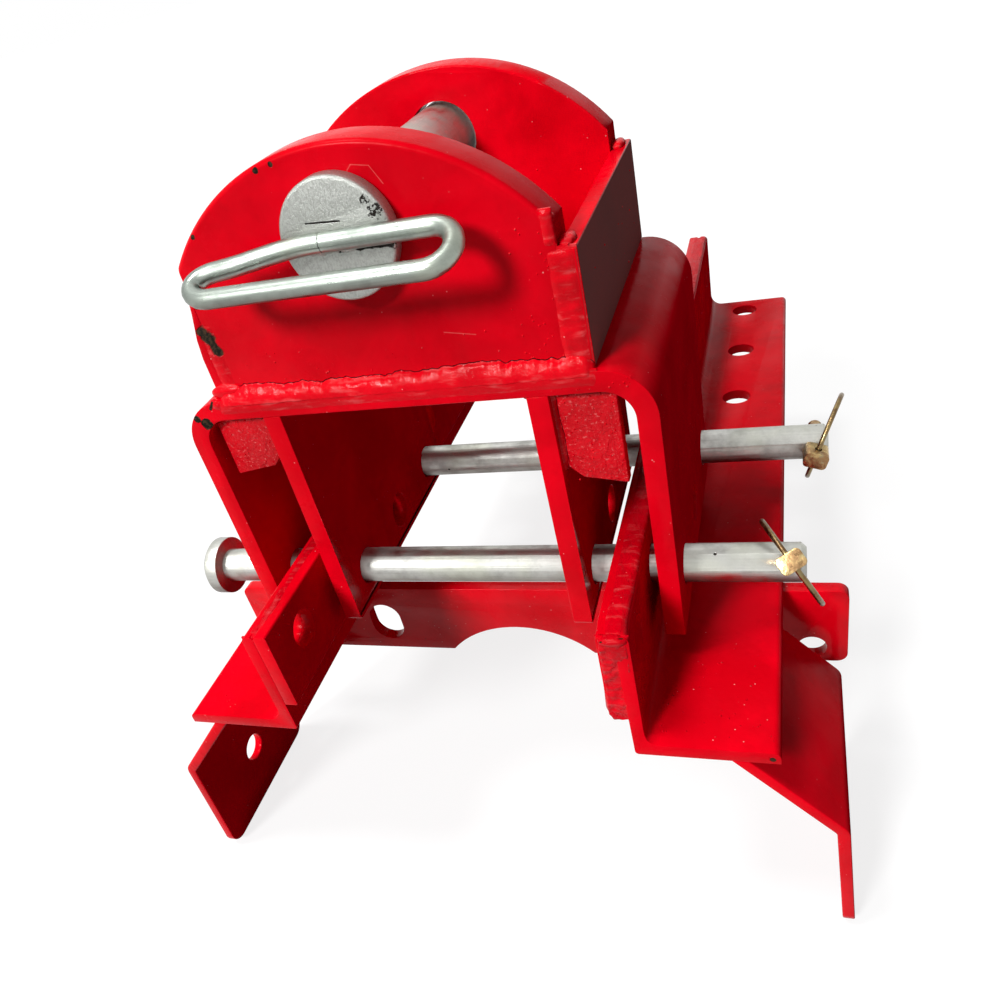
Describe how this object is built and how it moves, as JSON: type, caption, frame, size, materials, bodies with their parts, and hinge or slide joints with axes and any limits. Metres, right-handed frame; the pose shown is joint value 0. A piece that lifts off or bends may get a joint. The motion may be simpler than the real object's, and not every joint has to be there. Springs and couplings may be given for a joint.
{
  "type": "adjustable trailer hitch",
  "caption": "Adjustable tractor trailer hitch: saddle head with clevis and towing pin, locked by cross pins and lynch pins to two drilled angle-iron arms.",
  "frame": {"origin": "centre of the rectangle of outer flange bolt holes, on the mounting face of the angle irons", "axes": "+Z out of the mounting face towards the clevis, +Y along the arms away from the handle, +X across the hitch towards the lynch pins"},
  "size_m": [0.3922, 0.51, 0.4078],
  "materials": {
    "red_paint": "glossy",
    "zinc_steel": "satin",
    "yellow_zinc": "satin"
  },
  "bodies": {
    "base_frame": {"angle_left": "red_paint", "angle_right": "red_paint", "doubler_left": "red_paint", "doubler_right": "red_paint", "cross_plate": "red_paint", "wing_left": "red_paint", "wing_right": "red_paint", "frame_welds": "red_paint"},
    "head": {"saddle_channel": "red_paint", "inner_plate_left": "red_paint", "inner_plate_right": "red_paint", "tabs_left": "red_paint", "tabs_right": "red_paint", "saddle_welds": "red_paint", "cheek_front": "red_paint", "cheek_rear": "red_paint", "side_plate_left": "red_paint", "side_plate_right": "red_paint", "clevis_welds": "red_paint"},
    "towing_pin_set": {"towing_pin": "zinc_steel", "pin_disc": "zinc_steel", "pin_handle": "zinc_steel", "handle_weld": "zinc_steel"},
    "front_cross_pin": {"cross_pin_front": "zinc_steel"},
    "rear_cross_pin": {"cross_pin_rear": "zinc_steel"},
    "front_lynch_pin": {"lynch_pin_front": "yellow_zinc"},
    "rear_lynch_pin": {"lynch_pin_rear": "yellow_zinc"},
    "front_lynch_ring": {"lynch_ring_front": "yellow_zinc"},
    "rear_lynch_ring": {"lynch_ring_rear": "yellow_zinc"}
  },
  "joints": [
    {"name": "head_side_play", "type": "slide", "parent": "base_frame", "child": "head", "axis": [1, 0, 0], "range_m": [-0.0065, 0.0145]},
    {"name": "towing_pin_draw", "type": "slide", "parent": "head", "child": "towing_pin_set", "axis": [0, -1, 0], "range_m": [0, 0.18]},
    {"name": "front_cross_pin_slide", "type": "slide", "parent": "head", "child": "front_cross_pin", "axis": [1, 0, 0], "range_m": [-0.03, 0.038]},
    {"name": "rear_cross_pin_slide", "type": "slide", "parent": "head", "child": "rear_cross_pin", "axis": [1, 0, 0], "range_m": [-0.04, 0.025]},
    {"name": "front_lynch_draw", "type": "slide", "parent": "front_cross_pin", "child": "front_lynch_pin", "axis": [0, -0.7771, 0.6293], "range_m": [0, 0.04]},
    {"name": "front_ring_swing", "type": "hinge", "parent": "front_lynch_pin", "child": "front_lynch_ring", "pos_m": [0.167, -0.33747, 0.05795], "axis": [0.5592, -0.5217, -0.6443], "range_deg": [0, 150]},
    {"name": "rear_lynch_draw", "type": "slide", "parent": "rear_cross_pin", "child": "rear_lynch_pin", "axis": [0, -1, 0], "range_m": [0, 0.04]},
    {"name": "rear_ring_swing", "type": "hinge", "parent": "rear_lynch_pin", "child": "rear_lynch_ring", "pos_m": [0.18, -0.22905, 0.04785], "axis": [-0.3206, 0, -0.9472], "range_deg": [0, 135]}
  ],
  "couplings": [
    {"joint": "front_lynch_draw", "follows": "front_ring_swing", "m_per_rad": 0.0152},
    {"joint": "rear_lynch_draw", "follows": "rear_ring_swing", "m_per_rad": 0.0169}
  ]
}
